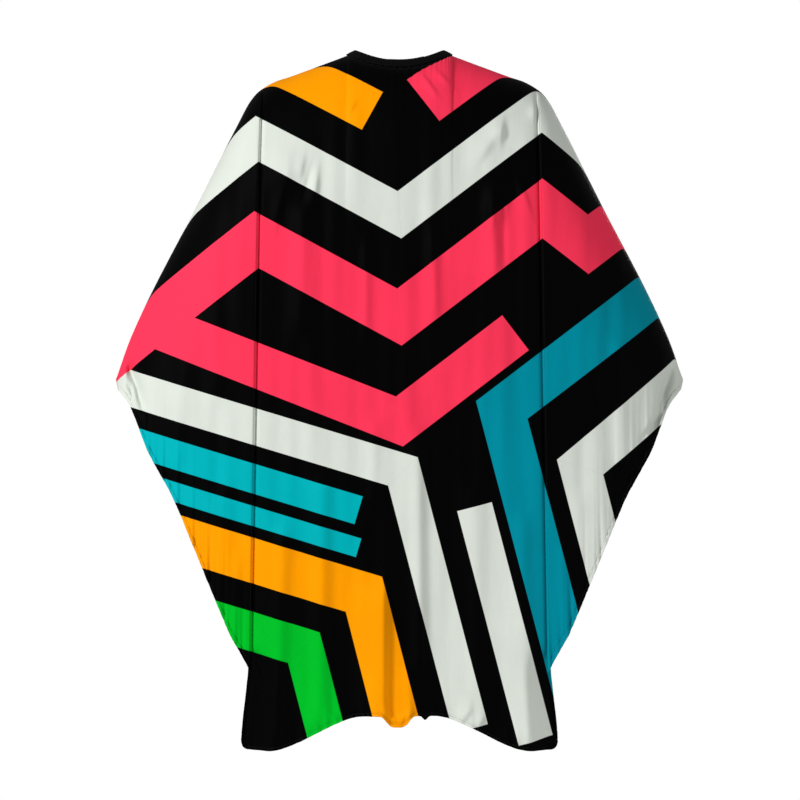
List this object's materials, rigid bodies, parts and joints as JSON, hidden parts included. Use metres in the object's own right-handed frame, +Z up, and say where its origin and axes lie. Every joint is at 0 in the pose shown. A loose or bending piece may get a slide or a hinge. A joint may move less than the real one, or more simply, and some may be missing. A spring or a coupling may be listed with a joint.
{
  "type": "barber cape",
  "caption": "Wide cloth cape with bold angular colour blocks, a stand-up neckband, a split back and a snap tab closure.",
  "frame": {"origin": "centre of the neck opening, level with the neckband's lower seam at the front", "axes": "+Z up along the wearer's neck, -Y towards the front of the cape, +X to the right as seen from the front"},
  "size_m": [0.8502, 0.2606, 1.0387],
  "materials": {
    "printed_cloth": "smooth polyester with a soft satin sheen, printed in angular colour blocks on black",
    "neckband_cloth": "black woven polyester",
    "interlining": "white stiffening felt",
    "snap_metal": "nickel-plated pressed metal",
    "label_cloth": "white satin tape, blank"
  },
  "bodies": {
    "cape": {"front_panel": "printed_cloth", "side_panel_left": "printed_cloth", "side_panel_right": "printed_cloth", "back_panel_left": "printed_cloth", "back_panel_right": "printed_cloth", "neckband": "neckband_cloth", "neckband_interlining": "interlining", "snap_stud_1": "snap_metal", "snap_stud_2": "snap_metal", "snap_stud_3": "snap_metal", "snap_stud_4": "snap_metal", "snap_stud_5": "snap_metal", "snap_stud_6": "snap_metal", "snap_stud_back_1": "snap_metal", "snap_stud_back_2": "snap_metal", "snap_stud_back_3": "snap_metal", "snap_stud_back_4": "snap_metal", "snap_stud_back_5": "snap_metal", "snap_stud_back_6": "snap_metal"},
    "tab": {"closure_tab": "neckband_cloth", "snap_socket_1": "snap_metal", "snap_socket_2": "snap_metal", "snap_cap_1": "snap_metal", "snap_cap_2": "snap_metal"},
    "label": {"care_label": "label_cloth"}
  },
  "joints": [
    {"name": "tab_hinge", "type": "hinge", "parent": "cape", "child": "tab", "pos_m": [-0.0295, 0.0534, 0.0161], "axis": [0.3113, -0.5287, 0.7897], "range_deg": [0, 90]},
    {"name": "label_hinge", "type": "hinge", "parent": "cape", "child": "label", "pos_m": [-0.0426, 0.0483, 0.0058], "axis": [-0.8855, -0.4646, 0], "range_deg": [-15, 110]}
  ]
}
